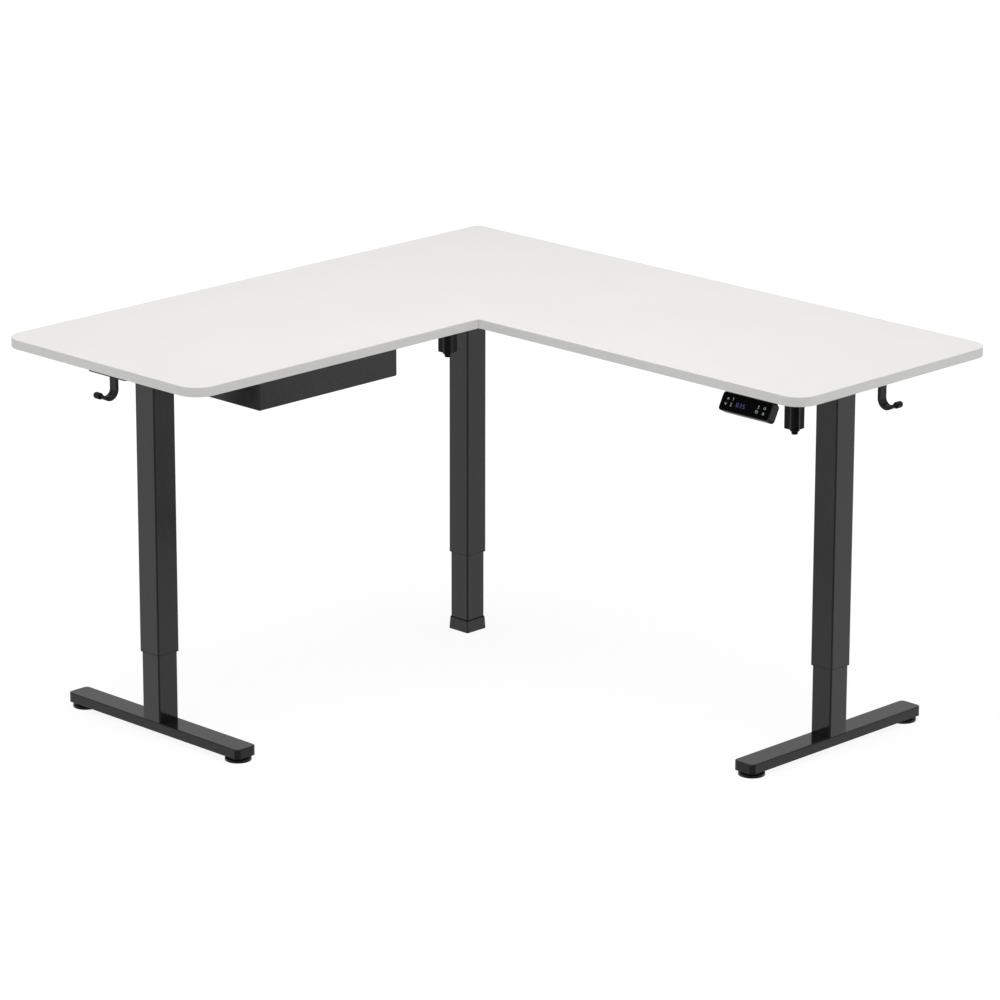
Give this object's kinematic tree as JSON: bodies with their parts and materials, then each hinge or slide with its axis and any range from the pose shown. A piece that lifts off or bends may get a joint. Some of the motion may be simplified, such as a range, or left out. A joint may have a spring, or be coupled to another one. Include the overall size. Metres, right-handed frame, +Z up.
{
  "type": "height adjustable standing desk",
  "caption": "L-shaped electric sit-stand desk: white laminated top on black telescopic square legs, with a slide-out drawer, a tilted touch handset and end hooks.",
  "frame": {"origin": "on the floor under the middle of the plan box, with the levelling pads and the corner foot on z = 0", "axes": "+Z up; +X along the right wing, away from the outer back corner; +Y towards the back of the right wing"},
  "size_m": [1.508, 1.408, 0.835],
  "materials": {
    "white_laminate": "white laminated board, satin",
    "white_band": "white edge band",
    "frame_black": "black powder coat",
    "motor_black": "black painted steel",
    "zinc_steel": "zinc plated",
    "bright_steel": "machined, oiled",
    "gear_plastic": "moulded gear plastic",
    "slide_plastic": "moulded slide plastic",
    "foot_plastic": "moulded foot plastic",
    "case_plastic": "fine grained case",
    "gloss_pane": "gloss touch pane",
    "tip_plastic": "soft tip",
    "runner_alloy": "black anodised"
  },
  "bodies": {
    "left_base": {"foot_bar_left": "frame_black", "inner_tube_left": "frame_black", "drive_nut_left": "slide_plastic"},
    "top": {"board_right": "white_laminate", "board_left": "white_laminate", "edge_band_right": "white_band", "edge_band_left": "white_band", "joining_plates": "zinc_steel", "rail_left": "frame_black", "rail_right": "frame_black", "side_bracket_left": "frame_black", "side_bracket_right": "frame_black", "top_plate_left": "frame_black", "top_plate_corner": "frame_black", "top_plate_right": "frame_black", "screws_top": "zinc_steel", "bolts_frame": "zinc_steel", "drawer_runner_left": "runner_alloy", "drawer_runner_right": "runner_alloy", "handset_case": "case_plastic", "handset_face": "gloss_pane", "control_box": "case_plastic", "hook_left": "frame_black", "hook_right": "frame_black", "hook_tip_left": "tip_plastic", "hook_tip_right": "tip_plastic", "outer_tube_left": "frame_black", "guide_bush_left": "slide_plastic", "gear_housing_left": "frame_black", "motor_left": "motor_black", "outer_tube_corner": "frame_black", "guide_bush_corner": "slide_plastic", "gear_housing_corner": "frame_black", "motor_corner": "motor_black", "outer_tube_right": "frame_black", "guide_bush_right": "slide_plastic", "gear_housing_right": "frame_black", "motor_right": "motor_black"},
    "corner_base": {"corner_foot": "foot_plastic", "inner_tube_corner": "frame_black", "drive_nut_corner": "slide_plastic"},
    "right_base": {"foot_bar_right": "frame_black", "inner_tube_right": "frame_black", "drive_nut_right": "slide_plastic"},
    "drawer": {"drawer_tray": "frame_black"},
    "spindle_left": {"spindle_left": "bright_steel"},
    "idler_left": {"idler_left": "gear_plastic"},
    "pinion_left": {"pinion_left": "bright_steel"},
    "spindle_corner": {"spindle_corner": "bright_steel"},
    "idler_corner": {"idler_corner": "gear_plastic"},
    "pinion_corner": {"pinion_corner": "bright_steel"},
    "spindle_right": {"spindle_right": "bright_steel"},
    "idler_right": {"idler_right": "gear_plastic"},
    "pinion_right": {"pinion_right": "bright_steel"},
    "level_foot_left_back": {"level_foot_left_back": "foot_plastic"},
    "level_foot_left_front": {"level_foot_left_front": "foot_plastic"},
    "level_foot_right_back": {"level_foot_right_back": "foot_plastic"},
    "level_foot_right_front": {"level_foot_right_front": "foot_plastic"}
  },
  "joints": [
    {"name": "left_lift", "type": "slide", "parent": "left_base", "child": "top", "axis": [0, 0, 1], "range_m": [-0.115, 0.345]},
    {"name": "corner_lift", "type": "slide", "parent": "top", "child": "corner_base", "axis": [0, 0, 1], "range_m": [-0.345, 0.115]},
    {"name": "right_lift", "type": "slide", "parent": "top", "child": "right_base", "axis": [0, 0, 1], "range_m": [-0.345, 0.115]},
    {"name": "drawer_slide", "type": "slide", "parent": "top", "child": "drawer", "axis": [1, 0, 0], "range_m": [0, 0.2]},
    {"name": "spindle_left_turn", "type": "hinge", "parent": "top", "child": "spindle_left", "pos_m": [-0.457, -0.538, 0.777], "axis": [0, 0, 1], "continuous": true},
    {"name": "idler_left_turn", "type": "hinge", "parent": "top", "child": "idler_left", "pos_m": [-0.50155, -0.49345, 0.777], "axis": [0, 0, 1], "continuous": true},
    {"name": "pinion_left_turn", "type": "hinge", "parent": "top", "child": "pinion_left", "pos_m": [-0.5362, -0.4588, 0.777], "axis": [0, 0, 1], "continuous": true},
    {"name": "spindle_corner_turn", "type": "hinge", "parent": "top", "child": "spindle_corner", "pos_m": [-0.499, 0.416, 0.777], "axis": [0, 0, 1], "continuous": true},
    {"name": "idler_corner_turn", "type": "hinge", "parent": "top", "child": "idler_corner", "pos_m": [-0.47509, 0.35771, 0.777], "axis": [0, 0, 1], "continuous": true},
    {"name": "pinion_corner_turn", "type": "hinge", "parent": "top", "child": "pinion_corner", "pos_m": [-0.4565, 0.31238, 0.777], "axis": [0, 0, 1], "continuous": true},
    {"name": "spindle_right_turn", "type": "hinge", "parent": "top", "child": "spindle_right", "pos_m": [0.597, 0.386, 0.777], "axis": [0, 0, 1], "continuous": true},
    {"name": "idler_right_turn", "type": "hinge", "parent": "top", "child": "idler_right", "pos_m": [0.534, 0.386, 0.777], "axis": [0, 0, 1], "continuous": true},
    {"name": "pinion_right_turn", "type": "hinge", "parent": "top", "child": "pinion_right", "pos_m": [0.485, 0.386, 0.777], "axis": [0, 0, 1], "continuous": true},
    {"name": "level_foot_left_back_turn", "type": "hinge", "parent": "left_base", "child": "level_foot_left_back", "pos_m": [-0.697, -0.538, 0], "axis": [0, 0, 1], "continuous": true},
    {"name": "level_foot_left_front_turn", "type": "hinge", "parent": "left_base", "child": "level_foot_left_front", "pos_m": [-0.217, -0.538, 0], "axis": [0, 0, 1], "continuous": true},
    {"name": "level_foot_right_back_turn", "type": "hinge", "parent": "right_base", "child": "level_foot_right_back", "pos_m": [0.597, 0.626, 0], "axis": [0, 0, 1], "continuous": true},
    {"name": "level_foot_right_front_turn", "type": "hinge", "parent": "right_base", "child": "level_foot_right_front", "pos_m": [0.597, 0.146, 0], "axis": [0, 0, 1], "continuous": true}
  ],
  "couplings": [
    {"joint": "corner_lift", "follows": "left_lift", "ratio": -1},
    {"joint": "right_lift", "follows": "left_lift", "ratio": -1},
    {"joint": "spindle_left_turn", "follows": "left_lift", "rad_per_m": 628.32},
    {"joint": "idler_left_turn", "follows": "left_lift", "rad_per_m": -502.65},
    {"joint": "pinion_left_turn", "follows": "left_lift", "rad_per_m": 1256.6},
    {"joint": "spindle_corner_turn", "follows": "left_lift", "rad_per_m": 628.32},
    {"joint": "idler_corner_turn", "follows": "left_lift", "rad_per_m": -502.65},
    {"joint": "pinion_corner_turn", "follows": "left_lift", "rad_per_m": 1256.6},
    {"joint": "spindle_right_turn", "follows": "left_lift", "rad_per_m": 628.32},
    {"joint": "idler_right_turn", "follows": "left_lift", "rad_per_m": -502.65},
    {"joint": "pinion_right_turn", "follows": "left_lift", "rad_per_m": 1256.6}
  ]
}
